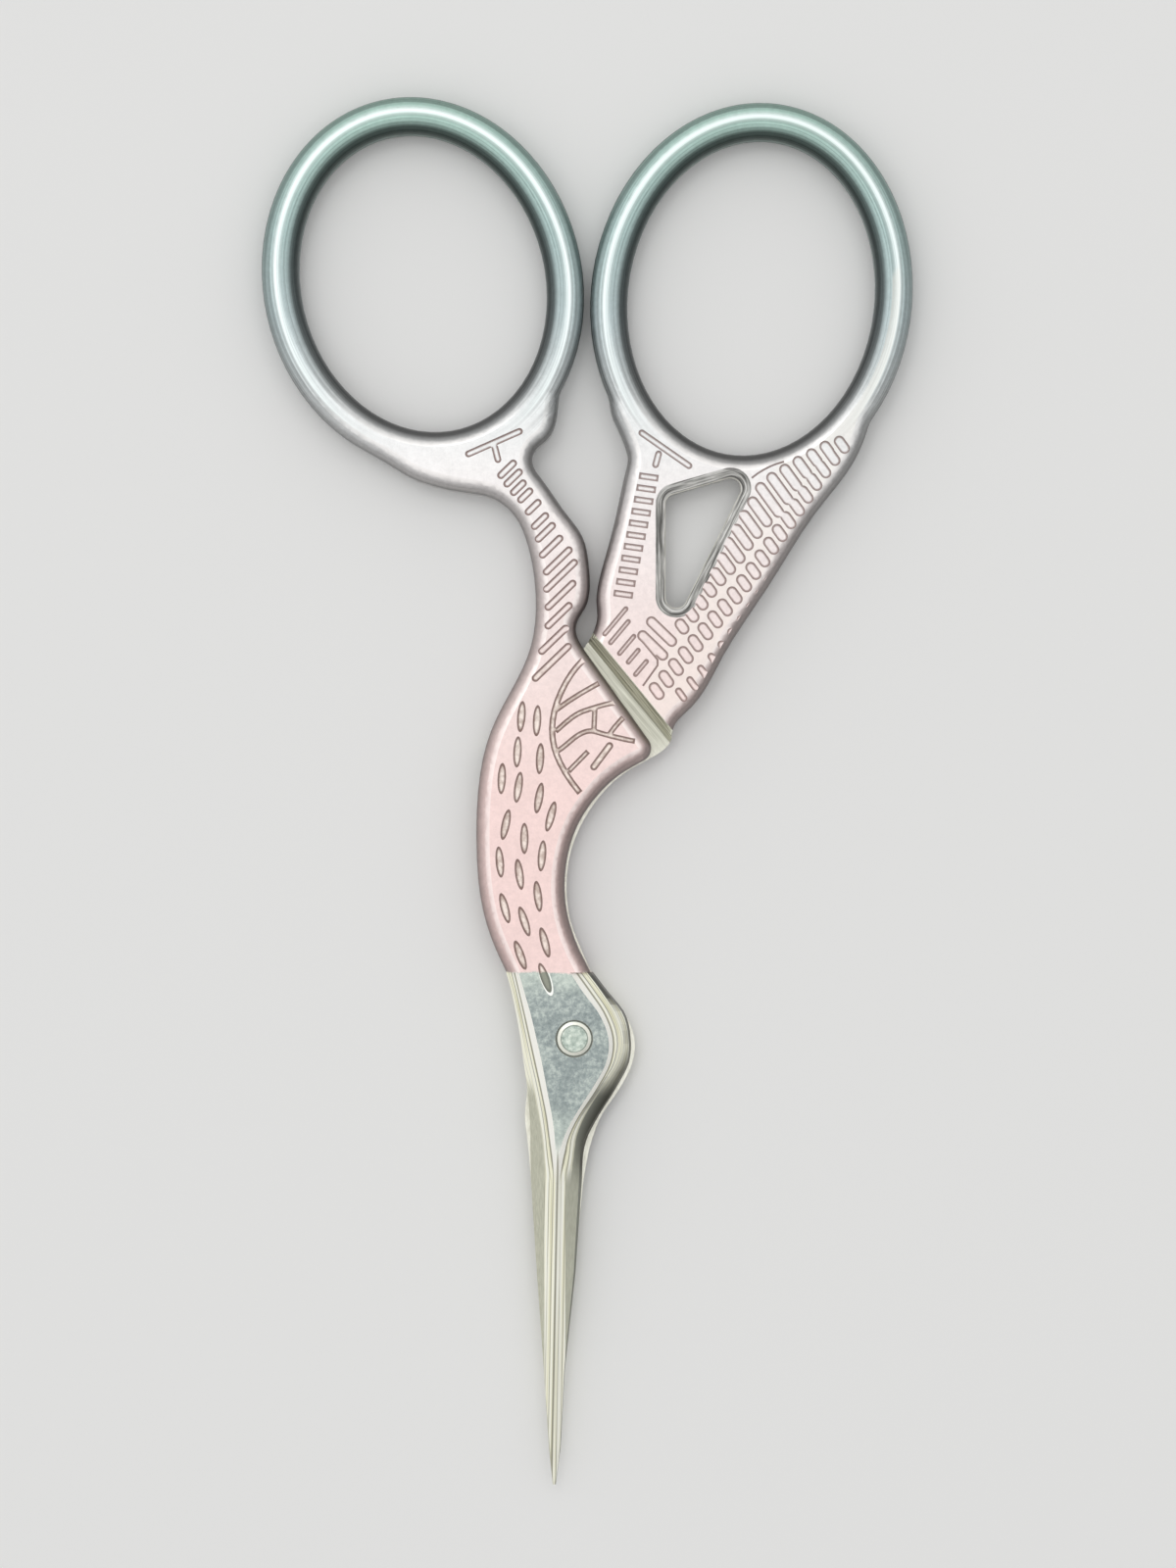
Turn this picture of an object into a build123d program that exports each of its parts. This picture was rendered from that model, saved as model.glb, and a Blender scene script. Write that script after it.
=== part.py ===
from build123d import *
import os

# Stork embroidery scissors, closed and lying flat, seen from the front with the
# finger rings up (+Y), the blades down (-Y) and the front face towards +Z.
# The origin is where the pivot axis meets the surface that the scissors lie on.
# All lengths are in millimetres and all angles in degrees.

# Thickness
half_thickness = 1.8  # of each half where the two lie on one another
blade_gap = 0.04  # between the two joint faces, so that they slide
edge_round = 1.1  # of the painted outer edges
ring_bore_round = 1.3  # of the finger rings' inner edges
level_reach = 0.04  # edges within this of the paint edge belong to it
cut_margin = 1.0  # overrun of a cut past the face that it leaves

# Plan of the birds, heads and blades
bird_width = 14.4  # unit of the painted outline, across
bird_length = 41.8  # from the paint edge up to the crotch under the ring
paint_edge = 5.4  # height of the paint edge above the pivot
head_width = 8.8  # unit of the head, across
head_length = 11.6  # from the pivot down to the blade's heel
blade_length = 36.6  # from the pivot down to the tip
blade_width = 4.0  # unit of the blade, across
tip_offset = 1.64  # the tip lies this far left of the pivot
spine_run = 0.27  # lean of a blade's spine, across per unit of height
head_section_count = 32

# Finger rings
ring_wire = 3.05
front_ring_width = 20.0  # of the bore
front_ring_length = 24.6
front_ring_lean = 14
front_ring_offset = 12.4  # centre, left of the pivot
front_ring_rise = 14.6  # centre, above the crotch
back_ring_width = 20.2
back_ring_length = 25.9
back_ring_lean = -8
back_ring_offset = 14.5  # centre, right of the pivot
back_ring_rise = 13.4

# Step between full and half thickness
step_lean = 22  # of the step's wall
strip_top_width = 0.56  # of the bare strip beside the wall, at its upper end
strip_bottom_width = 1.22  # and at its lower end
corner_round = 1.15  # of the front plate's corner, in plan
corner_turn = 95

# Triangular window under the tail feathers
window_round = 0.85
window_bevel = 0.82
window_bevel_depth = 0.9

# Pivot screw
shank_diameter = 3.0
thread_diameter = 2.84
head_diameter = 4.4
head_height = 0.75
screw_rim_width = 0.28  # of the shallow chamfer round the screw's flush end
screw_rim_depth = 0.06
slot_width = 0.5
slot_depth = 0.45
running_fit = 0.04  # radial, of the shank in the back half
thread_fit = 0.02  # radial, of the threaded end in the front half
mouth_width = 0.1  # of the countersunk mouth round the screw's flush end

# Engraving
engraving_depth = 0.15
oval_width = 0.7
oval_length = 2.55
bar_width = 0.62
bar_angle = 44
rung_length = 1.6
rung_width = 0.55
rung_lean = -8
rung_count = 11
shoulder_width = 0.42
shoulder_angle = 50
long_scale_length = 3.2
long_scale_angle = -44
scale_width = 0.9
scale_length = 1.62
scale_angle = -54
scale_count = 21
root_scale_width = 0.94
small_scale_width = 0.6
small_scale_length = 1.3
small_scale_count = 16
mark_width = 0.56
fan_band_width = 0.52
fan_groove_width = 0.44
leaf_width = 0.6
hairline = 0.16

joint_back = half_thickness
joint_front = half_thickness + blade_gap
thickness = joint_front + half_thickness
crotch_height = paint_edge + bird_length

# Places on the painted part are pairs: share of the bird's width from the pivot,
# and share of its length above the paint edge. Turns and lengths follow them.

# The foot of each half's step wall, from its upper to its lower end
front_step_shares = [(0.066, 0.662), (-0.483, 0.427)]
back_step_shares = [(0.038, 0.663), (0.488, 0.473)]
plate_start_share = 0.12  # where the other half's straight edge begins

# Outlines, clockwise: leg from the ring to the step, then the plate below it
front_leg_shares = [(-0.097, 1.090), (-0.161, 1.040), (-0.217, 1.023), (-0.239, 1.004), (-0.226, 0.985),
                    (-0.183, 0.964), (-0.056, 0.902), (0.047, 0.852), (0.083, 0.795), (0.064, 0.715)]
front_belly_shares = [(0.277, 0.391), (0.124, 0.343), (0.011, 0.282), (-0.042, 0.220), (-0.055, 0.159),
                      (-0.034, 0.105), (0.028, 0.044)]
front_nape_shares = [(-0.433, 0.034), (-0.511, 0.109), (-0.557, 0.251), (-0.544, 0.366), (-0.481, 0.466),
                     (-0.372, 0.544), (-0.256, 0.628), (-0.219, 0.730), (-0.264, 0.835), (-0.339, 0.893),
                     (-0.461, 0.927), (-0.667, 0.941), (-0.900, 0.963)]
front_ring_angles = (-47, 232)
back_leg_shares = [(0.206, 1.100), (0.258, 1.054), (0.291, 1.025), (0.304, 1.006), (0.293, 0.983),
                   (0.268, 0.944), (0.200, 0.843), (0.125, 0.728)]
back_nape_shares = [(-0.494, 0.358), (-0.536, 0.274), (-0.531, 0.197), (-0.489, 0.109), (-0.417, 0.034)]
back_tail_shares = [(0.034, 0.048), (-0.024, 0.102), (-0.045, 0.159), (-0.033, 0.216), (0.029, 0.282),
                    (0.141, 0.343), (0.289, 0.391), (0.406, 0.414), (0.506, 0.435), (0.547, 0.452),
                    (0.561, 0.475), (0.661, 0.517), (0.844, 0.617), (1.100, 0.753), (1.383, 0.904),
                    (1.600, 1.006), (1.661, 1.056)]
back_ring_angles = (-31, 217)
window_shares = [(0.518, 0.931), (1.000, 0.979), (0.617, 0.713), (0.518, 0.713)]

# Sections of the head, from the paint edge down to the blade's heel. Each row:
# height above the pivot as a share of the paint edge's, or below it of the head's
# length; shares of the head's width from the pivot for the left outline, shoulder,
# bevel line and flat edge, then the right ones from the flat edge out; and shares
# of the half's thickness for the heights of those edges, with one for the flat.
head_shares = [
    (1.000, (-0.632, -0.620, -0.555, -0.515, -0.036, 0.018, 0.118, 0.152),
     (0.60, 0.64, 0.86, 1, 0.86, 0.64, 0.36)),
    (0.716, (-0.585, -0.574, -0.514, -0.465, 0.075, 0.143, 0.250, 0.286),
     (0.60, 0.64, 0.86, 1, 0.86, 0.64, 0.36)),
    (0.373, (-0.541, -0.529, -0.465, -0.405, 0.231, 0.282, 0.382, 0.450),
     (0.60, 0.64, 0.86, 1, 0.86, 0.64, 0.36)),
    (0.000, (-0.500, -0.486, -0.414, -0.351, 0.318, 0.359, 0.455, 0.505),
     (0.60, 0.64, 0.86, 1, 0.86, 0.64, 0.36)),
    (-0.172, (-0.470, -0.445, -0.364, -0.300, 0.294, 0.335, 0.409, 0.491),
     (0.56, 0.62, 0.86, 1, 0.86, 0.64, 0.34)),
    (-0.345, (-0.438, -0.391, -0.314, -0.257, 0.171, 0.216, 0.255, 0.377),
     (0.46, 0.62, 0.86, 1, 0.86, 0.66, 0.34)),
    (-0.552, (-0.415, -0.323, -0.255, -0.205, -0.003, 0.036, 0.073, 0.205),
     (0.28, 0.68, 0.87, 1, 0.87, 0.70, 0.38)),
    (-0.690, (-0.409, -0.284, -0.227, -0.182, -0.094, -0.055, -0.014, 0.105),
     (0.18, 0.72, 0.88, 1, 0.88, 0.74, 0.44)),
    (-0.807, (-0.407, -0.267, -0.206, -0.175, -0.138, -0.096, -0.045, 0.059),
     (0.12, 0.73, 0.88, 1, 0.88, 0.77, 0.48)),
    (-1.000, (-0.404, -0.264, -0.197, -0.169, -0.158, -0.123, -0.066, 0.044),
     (0.08, 0.66, 0.82, 0.95, 0.82, 0.72, 0.48)),
]
# Left and right outline of the back head in the same rows
back_head_shares = [(-0.605, 0.155), (-0.555, 0.291), (-0.509, 0.464), (-0.468, 0.558), (-0.436, 0.541),
                    (-0.414, 0.432), (-0.445, 0.250), (-0.432, 0.177), (-0.418, 0.132), (-0.400, 0.086)]
# Sections of the blade below, likewise: share of the way from the heel to the tip,
# shares of the blade's width from the tip's line, and heights
blade_shares = [
    (0.304, (-0.358, -0.204, -0.070, 0.016, 0.024, 0.110, 0.255, 0.396),
     (0.06, 0.40, 0.54, 0.62, 0.55, 0.42, 0.32)),
    (0.625, (-0.214, -0.180, -0.090, -0.020, -0.012, 0.060, 0.170, 0.200),
     (0.05, 0.12, 0.30, 0.42, 0.30, 0.15, 0.12)),
    (0.881, (-0.110, -0.098, -0.060, -0.010, -0.004, 0.040, 0.104, 0.120),
     (0.05, 0.07, 0.18, 0.26, 0.18, 0.09, 0.07)),
    (1.000, (-0.034, -0.028, -0.018, -0.006, 0.000, 0.010, 0.020, 0.026),
     (0.05, 0.06, 0.10, 0.14, 0.10, 0.06, 0.05)),
]
back_blade_shares = [(-0.350, 0.400), (-0.205, 0.190), (-0.104, 0.112), (-0.030, 0.024)]

# Engraving on the bird's body: place and lean of each oval
oval_shares = [(-0.300, 0.500), (-0.211, 0.492), (-0.322, 0.431), (-0.194, 0.418), (-0.411, 0.379),
               (-0.317, 0.362), (-0.200, 0.341), (-0.133, 0.305), (-0.389, 0.289), (-0.283, 0.262),
               (-0.183, 0.228), (-0.422, 0.216), (-0.311, 0.192), (-0.206, 0.149), (-0.394, 0.126),
               (-0.283, 0.100), (-0.167, 0.059), (-0.306, 0.034), (-0.167, -0.010)]
oval_leans = [-5, -3, -3, -3, -3, -8, -10, -15, -12, 0, -5, 5, 8, 7, 15, 18, 15, 20, 20]
# Engraving on the front leg: place of each bar, with its length as a share of the longest
bar_length = 3.7
bar_shares = [(-0.381, 0.983, 0.38), (-0.347, 0.966, 0.37), (-0.317, 0.947, 0.29), (-0.278, 0.932, 0.27),
              (-0.233, 0.909, 0.29), (-0.194, 0.882, 0.33), (-0.164, 0.860, 0.42), (-0.131, 0.832, 0.52),
              (-0.094, 0.804, 0.69), (-0.078, 0.775, 0.84), (-0.078, 0.737, 0.75), (-0.089, 0.697, 0.64),
              (-0.117, 0.650, 0.72), (-0.128, 0.606, 1.00)]
front_mark_shares = [(-0.600, 1.013), (-0.311, 1.057)]
front_mark_stem_shares = [(-0.450, 1.025), (-0.433, 1.002)]
# Engraving of the folded wing: a band and the grooves that run out of it
wing_band_shares = [(0.053, 0.611), (-0.011, 0.586), (-0.072, 0.550), (-0.117, 0.504), (-0.125, 0.466),
                    (-0.106, 0.431), (-0.072, 0.404), (-0.025, 0.377), (0.033, 0.351)]
wing_groove_shares = [
    [(-0.111, 0.511), (-0.033, 0.530), (0.050, 0.548), (0.139, 0.565)],
    [(-0.106, 0.471), (-0.033, 0.493), (0.033, 0.508), (0.100, 0.516), (0.167, 0.523), (0.256, 0.527)],
    [(0.117, 0.519), (0.111, 0.473)],
    [(-0.094, 0.433), (-0.033, 0.449), (0.028, 0.465), (0.094, 0.472), (0.156, 0.467), (0.233, 0.460),
     (0.344, 0.452)],
    [(0.200, 0.466), (0.233, 0.481), (0.278, 0.498)],
    [(-0.033, 0.393), (0.033, 0.416), (0.078, 0.432)],
]
leaf_shares = [(0.111, 0.402), (0.200, 0.443)]
# Engraving of the back half's leg and tail
ladder_shares = [(0.422, 0.968), (0.278, 0.739)]
shoulder_shares = [(0.233, 0.686, 1.00), (0.256, 0.665, 0.86), (0.297, 0.640, 0.72), (0.334, 0.618, 0.54),
                   (0.378, 0.595, 0.58)]
shoulder_length = 3.1
long_scale_shares = [(0.495, 0.666), (0.445, 0.639)]
scale_row_shares = [(0.467, 0.550), (0.739, 0.665), (1.014, 0.784), (1.264, 0.910), (1.517, 1.031)]
small_row_shares = [(0.606, 0.543), (0.873, 0.646), (1.145, 0.777), (1.412, 0.914)]
root_row_shares = [(0.611, 0.676), (0.771, 0.749), (0.922, 0.833), (1.066, 0.906), (1.228, 0.967),
                   (1.432, 1.023)]
root_length = 3.4
root_length_shares = [0.42, 0.42, 0.42, 0.42, 0.50, 0.62, 0.74, 0.74, 0.80, 0.86, 1.00, 0.92, 0.76, 0.62,
                      0.50, 0.42]
back_mark_shares = [(0.383, 1.054), (0.650, 0.990)]
back_mark_stem_shares = [(0.478, 1.013), (0.461, 0.992)]
root_line_shares = [(1.006, 0.966), (1.089, 0.985), (1.189, 0.998)]
tail_bracket_shares = [(0.383, 0.648), (0.472, 0.611), (0.472, 0.600), (0.389, 0.560)]


def bird_point(place):
    """A place on the painted part from its two shares."""
    return Vector(place[0] * bird_width, paint_edge + place[1] * bird_length)


def bird_points(places):
    return [bird_point(place) for place in places]


class Ring:
    """A finger ring: an oval of even wire that leans to one side."""

    def __init__(self, offset, rise, width, length, lean):
        self.centre = Vector(offset, crotch_height + rise)
        self.lean = lean
        self.bore_radii = (width / 2, length / 2)
        self.outer_radii = (width / 2 + ring_wire, length / 2 + ring_wire)

    def contour(self, start, end):
        """The outer contour, anticlockwise between two angles."""
        return EllipticalCenterArc(self.centre, *self.outer_radii, start, arc_size=end - start,
                                   rotation=self.lean)

    def bore(self):
        return Pos(self.centre) * Rot(0, 0, self.lean) * Ellipse(*self.bore_radii)


front_ring = Ring(-front_ring_offset, front_ring_rise, front_ring_width, front_ring_length, front_ring_lean)
back_ring = Ring(back_ring_offset, back_ring_rise, back_ring_width, back_ring_length, back_ring_lean)


def plate_edge(step_shares, side):
    """The straight edge of the plate beside a step, which leaves a bare strip between."""
    top, bottom = bird_points(step_shares)
    away = (bottom - top).normalized().rotate(Axis.Z, side * 90)
    top_end = top + away * strip_top_width
    bottom_end = bottom + away * strip_bottom_width
    return Line(top_end + (bottom_end - top_end) * plate_start_share, bottom_end)


def head_edge(corner_share):
    """Where the head's outline meets the paint edge."""
    return Vector(corner_share * head_width, paint_edge)


def front_outline():
    ring = front_ring.contour(*front_ring_angles)
    edge = plate_edge(back_step_shares, -1)
    leg = Spline(ring @ 0, *bird_points(front_leg_shares), edge @ 0, tangents=[-(ring % 0), edge % 0])
    corner = JernArc(edge @ 1, edge % 1, corner_round, -corner_turn)
    first_row = head_shares[0][1]
    belly_end = head_edge(first_row[-1])
    last_belly = bird_point(front_belly_shares[-1])
    belly = Spline(corner @ 1, *bird_points(front_belly_shares), belly_end,
                   tangents=[corner % 1, belly_end - last_belly])
    nape_start = head_edge(first_row[0])
    nape = Spline(nape_start, *bird_points(front_nape_shares), ring @ 1,
                  tangents=[bird_point(front_nape_shares[0]) - nape_start, -(ring % 1)])
    return make_face([ring, leg, edge, corner, belly, Line(belly_end, nape_start), nape])


def back_outline():
    ring = back_ring.contour(*back_ring_angles)
    edge = plate_edge(front_step_shares, 1)
    leg = Spline(ring @ 1, *bird_points(back_leg_shares), edge @ 0, tangents=[ring % 1, edge % 0])
    outline_left, outline_right = back_head_shares[0]
    nape_end = head_edge(outline_left)
    last_nape = bird_point(back_nape_shares[-1])
    nape = Spline(edge @ 1, *bird_points(back_nape_shares), nape_end,
                  tangents=[edge % 1, nape_end - last_nape])
    tail_start = head_edge(outline_right)
    first_tail = bird_point(back_tail_shares[0])
    tail = Spline(tail_start, *bird_points(back_tail_shares), ring @ 0,
                  tangents=[first_tail - tail_start, ring % 0])
    return make_face([ring, leg, edge, nape, Line(nape_end, tail_start), tail])


def rims(face, wires):
    """The edges of a flat face that run round the given wires, without its paint edge."""
    return [edge for wire in wires(face) for edge in wire.edges()
            if edge.center().Y > paint_edge + level_reach]


def flat_faces(solid):
    """The two flat faces that the scissors' front and underside keep."""
    ordered = solid.faces().filter_by(Axis.Z).sort_by(Axis.Z)
    return ordered[0], ordered[-1]


def rounded_plate(outline, ring):
    """The painted part at full thickness, its outline and its finger ring rounded."""
    plate = extrude(outline, thickness)
    outer = [edge for face in flat_faces(plate) for edge in rims(face, lambda flat: [flat.outer_wire()])]
    plate = fillet(outer, edge_round)
    plate -= extrude(ring.bore(), thickness)
    inner = [edge for face in flat_faces(plate) for edge in rims(face, lambda flat: flat.inner_wires())]
    return fillet(inner, ring_bore_round)


def window_cut():
    """The triangular opening under the tail, bevelled towards both faces."""
    corners = Polyline(*bird_points(window_shares), close=True)
    outline = fillet(make_face(corners).vertices(), window_round)
    through = extrude(outline, thickness)
    flare = offset(outline, window_bevel)
    upper = loft([Pos(0, 0, thickness) * flare, Pos(0, 0, thickness - window_bevel_depth) * outline])
    lower = loft([flare, Pos(0, 0, window_bevel_depth) * outline])
    return through + upper + lower


def step_cut(step_shares, side, joint, way):
    """The space taken from one half beside its step, for the other half's plate."""
    top, bottom = bird_points(step_shares)
    along = bottom - top
    reach = blade_length + crotch_height
    align = (Align.CENTER, Align.MIN if side > 0 else Align.MAX)
    turn = Vector(1, 0).get_signed_angle(along, Vector(0, 0, 1))
    region = Pos(top.X, top.Y, joint) * Rot(0, 0, turn) * Rectangle(2 * reach, reach, align=align)
    return extrude(region, thickness, dir=(0, 0, way), taper=-step_lean)


def section(height, places, rises, joint, way):
    """A section across a head or blade, standing on the joint face towards one side."""
    levels = [joint + way * rise * half_thickness for rise in (*rises[:4], *rises[3:])]
    spine = rises[-1] * half_thickness * spine_run
    foot_left = places[0] - (spine if way < 0 else 0)
    foot_right = places[-1] + (spine if way > 0 else 0)
    edges = list(zip(places, levels))
    corners = [(foot_left, joint), *edges, (foot_right, joint)]
    return make_face(Polyline(*[(across, height, level) for across, level in corners], close=True))


def fitted(shares, outline):
    """A row's shares moved in proportion, so that they meet another outline."""
    left, right = shares[0], shares[-1]
    new_left, new_right = outline
    return [new_left + (share - left) * (new_right - new_left) / (right - left) for share in shares]


def eased(knots, values, at):
    """The value at a place between knots in falling order, on a smooth curve through them all."""
    last = len(knots) - 1
    start = min(sum(at < knot for knot in knots[1:-1]), last - 1)
    span = knots[start + 1] - knots[start]
    slopes = []
    for index in (start, start + 1):
        before, after = max(index - 1, 0), min(index + 1, last)
        slopes.append((values[after] - values[before]) / (knots[after] - knots[before]))
    part = (at - knots[start]) / span
    rise = values[start + 1] - values[start]
    pull = (slopes[0] * span - rise) * (1 - part) - (slopes[1] * span - rise) * part
    return values[start] + rise * part + part * (1 - part) * pull


def head_sections(joint, way, outlines):
    """Close sections down the head, on smooth curves through the hand-set rows."""
    knots = [share * (paint_edge if share > 0 else head_length) for share, shares, rises in head_shares]
    places = [fitted(shares, outline) for (share, shares, rises), outline in zip(head_shares, outlines)]
    levels = [rises[::way] for share, shares, rises in head_shares]
    sections = []
    for number in range(head_section_count + 1):
        height = paint_edge - (paint_edge + head_length) * number / head_section_count
        across = [eased(knots, column, height) * head_width for column in zip(*places)]
        rises = [min(eased(knots, column, height), 1) for column in zip(*levels)]
        sections.append(section(height, across, rises, joint, way))
    return sections


def head_and_blade(joint, way, head_outlines, blade_outlines):
    """The bare steel below the paint: the ground head and the tapering blade."""
    sections = head_sections(joint, way, head_outlines)
    for (share, shares, rises), outline in zip(blade_shares, blade_outlines):
        height = -head_length - share * (blade_length - head_length)
        across = [place * blade_width - tip_offset for place in fitted(shares, outline)]
        sections.append(section(height, across, rises[::way], joint, way))
    return loft(sections, ruled=True)


def outlines(rows):
    return [(shares[0], shares[-1]) for height_share, shares, rises in rows]


def slot(start, end, width):
    """A round-ended slot between two centres."""
    middle = (start + end) / 2
    run = end - start
    turn = Vector(1, 0).get_signed_angle(run, Vector(0, 0, 1))
    return Pos(middle.X, middle.Y) * Rot(0, 0, turn) * SlotCenterToCenter(run.length, width)


def turned(place, angle, shape):
    point = bird_point(place)
    return Pos(point.X, point.Y) * Rot(0, 0, angle) * shape


def mark(places, stem_places):
    """A slot with a short stem under it, beside the ring."""
    return slot(*bird_points(places), mark_width) + slot(*bird_points(stem_places), mark_width)


def row_places(places, count):
    """Even places along a smooth row."""
    row = Spline(*bird_points(places))
    return [row @ (number / (count - 1)) for number in range(count)]


def body_engraving():
    """Ovals on the bird's body and the folded wing beside its step."""
    shapes = [turned(place, lean, Ellipse(oval_width / 2, oval_length / 2))
              for place, lean in zip(oval_shares, oval_leans)]
    shapes.append(slot(*bird_points(leaf_shares), leaf_width))
    wing = trace(Spline(*bird_points(wing_band_shares)), fan_band_width)
    for places in wing_groove_shares:
        points = bird_points(places)
        path = Spline(*points) if len(points) > 2 else Line(*points)
        wing += trace(path, fan_groove_width)
    return shapes + [wing]


def front_leg_engraving():
    """Bars down the front leg, with the mark under its ring."""
    bars = [turned((across, up), bar_angle, SlotOverall(length * bar_length + bar_width, bar_width))
            for across, up, length in bar_shares]
    return bars + [mark(front_mark_shares, front_mark_stem_shares)]


def back_leg_engraving():
    """The ladder down the back leg, with the mark over it and the strokes under it."""
    top, bottom = bird_points(ladder_shares)
    rungs = []
    for number in range(rung_count):
        place = top + (bottom - top) * number / (rung_count - 1)
        rungs.append(Pos(place.X, place.Y) * Rot(0, 0, rung_lean) * Rectangle(rung_length, rung_width))
    strokes = [turned((across, up), shoulder_angle, SlotOverall(length * shoulder_length, shoulder_width))
               for across, up, length in shoulder_shares]
    long_scales = [turned(place, long_scale_angle, SlotOverall(long_scale_length, scale_width))
                   for place in long_scale_shares]
    return rungs + strokes + long_scales + [mark(back_mark_shares, back_mark_stem_shares)]


def scale_at(place, length, width):
    return Pos(place) * Rot(0, 0, scale_angle) * SlotOverall(length, width)


def tail_engraving():
    """Three rows of scales down the tail feathers, and the fine lines at their roots."""
    scales = [scale_at(place, scale_length, scale_width) for place in row_places(scale_row_shares, scale_count)]
    scales += [scale_at(place, small_scale_length, small_scale_width)
               for place in row_places(small_row_shares, small_scale_count)]
    roots = row_places(root_row_shares, len(root_length_shares))
    scales += [scale_at(place, root_length * share, root_scale_width)
               for place, share in zip(roots, root_length_shares)]
    root_line = trace(Spline(*bird_points(root_line_shares)), hairline)
    bracket = trace(Polyline(*bird_points(tail_bracket_shares)), hairline)
    return scales + [root_line, bracket]


def pockets(shapes, base, way):
    """Engraved pockets sunk into the face at a level, from the side it faces."""
    floors = Pos(0, 0, base - way * engraving_depth) * (Sketch() + shapes)
    return extrude(floors, engraving_depth + cut_margin, dir=(0, 0, way))


def front_half():
    """Left ring and leg, the upper bird with its head, and the upper blade."""
    body = rounded_plate(front_outline(), front_ring)
    body -= step_cut(front_step_shares, 1, joint_front, -1)
    body += head_and_blade(joint_front, 1, outlines(head_shares), outlines(blade_shares))
    body -= pockets(body_engraving() + front_leg_engraving(), thickness, 1)
    body -= pockets(front_leg_engraving(), 0, -1)
    return body - screw_hole()


def back_half():
    """Right ring and leg, the tail with its window, the lower bird and blade."""
    body = rounded_plate(back_outline(), back_ring)
    body -= step_cut(back_step_shares, -1, joint_back, 1)
    body += head_and_blade(joint_back, -1, back_head_shares, back_blade_shares)
    body -= window_cut()
    body -= pockets(back_leg_engraving() + tail_engraving(), thickness, 1)
    body -= pockets(back_leg_engraving() + tail_engraving() + body_engraving(), 0, -1)
    return body - shank_hole()


def screw_hole():
    """The front half's hole for the threaded end, with its countersunk mouth."""
    radius = thread_diameter / 2 + thread_fit
    hole = Pos(0, 0, thickness / 2) * Cylinder(radius, thickness + cut_margin)
    mouth = Pos(0, 0, thickness - mouth_width / 2) * Cone(radius, radius + mouth_width, mouth_width)
    return hole + mouth


def shank_hole():
    """The back half's running hole and the countersink for the screw's head."""
    radius = shank_diameter / 2 + running_fit
    head_radius = head_diameter / 2 + running_fit
    hole = Pos(0, 0, thickness / 2) * Cylinder(radius, thickness + cut_margin)
    countersink = Pos(0, 0, head_height / 2) * Cone(head_radius, radius, head_height)
    return hole + countersink


def pivot_screw():
    """Countersunk slotted head, running shank, and threaded end flush with the front."""
    head = Pos(0, 0, head_height / 2) * Cone(head_diameter / 2, shank_diameter / 2, head_height)
    shank = Pos(0, 0, joint_front / 2) * Cylinder(shank_diameter / 2, joint_front)
    end = Pos(0, 0, thickness / 2) * Cylinder(thread_diameter / 2, thickness)
    flush_face = end.faces().sort_by(Axis.Z)[-1]
    end = chamfer(flush_face.edges(), screw_rim_width, screw_rim_depth, reference=flush_face)
    slot_box = Pos(0, 0, slot_depth / 2) * Box(slot_width, head_diameter + cut_margin, slot_depth)
    return head + shank + end - slot_box


os.makedirs("parts", exist_ok=True)
for name, make in (("front_half", front_half), ("back_half", back_half), ("pivot_screw", pivot_screw)):
    export_step(make(), f"parts/{name}.step")
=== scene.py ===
import math

import bpy
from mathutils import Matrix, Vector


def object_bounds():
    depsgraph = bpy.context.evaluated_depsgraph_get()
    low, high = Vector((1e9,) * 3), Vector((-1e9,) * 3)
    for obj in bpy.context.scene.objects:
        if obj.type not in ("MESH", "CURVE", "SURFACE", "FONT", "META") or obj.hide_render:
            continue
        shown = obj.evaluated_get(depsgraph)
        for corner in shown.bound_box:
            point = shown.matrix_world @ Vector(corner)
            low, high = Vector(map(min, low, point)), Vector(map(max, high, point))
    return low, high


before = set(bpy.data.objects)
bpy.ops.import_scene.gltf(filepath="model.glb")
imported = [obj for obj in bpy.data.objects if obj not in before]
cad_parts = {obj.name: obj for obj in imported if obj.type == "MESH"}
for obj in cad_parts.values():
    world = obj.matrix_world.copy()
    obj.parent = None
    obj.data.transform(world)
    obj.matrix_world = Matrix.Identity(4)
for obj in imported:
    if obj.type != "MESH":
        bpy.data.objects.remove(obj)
cad_low, cad_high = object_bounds()

# Stork embroidery scissors, closed, flat on a pale table, seen from straight above.
# Blender works in metres. The finishes are laid out in millimetres from the pivot,
# with +Y towards the finger rings and +Z towards the front face.
#
# Unless a comment says otherwise, two numbers say where something begins and where it is
# full, and three are a band's edges and how soft they are. A coat is its share and its
# colour, a noise its scale, detail and roughness, a bump its strength and depth, and a
# grain how dense its lines are in three directions.
MM = 0.001
PER_M = 1000.0
SOFT = 0.02  # the width over which many finishes are eased into each other

# Heights of the faces above the table
FRONT_FACE = cad_high.z * PER_M
JOINT_FACE = FRONT_FACE / 2
ENGRAVING_FLOOR = FRONT_FACE - 0.15

# How squarely a face looks up: 1 on a level face, 0 on an upright wall
LEANING = (0.04, 0.22)
LEVEL_FACE = (0.975, 0.99)

# Where the paint ends. Its edge is soft, and wanders.
PAINT_EDGE = 5.4
PAINT_EDGE_SOFT = 0.12
PAINT_EDGE_WAVE = 0.8
PAINT_EDGE_NOISE = (0.9, 6.0, 0.7)
CLEAR_OF_EDGE = (0.15, 0.35)  # distances from the paint's edge

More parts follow.
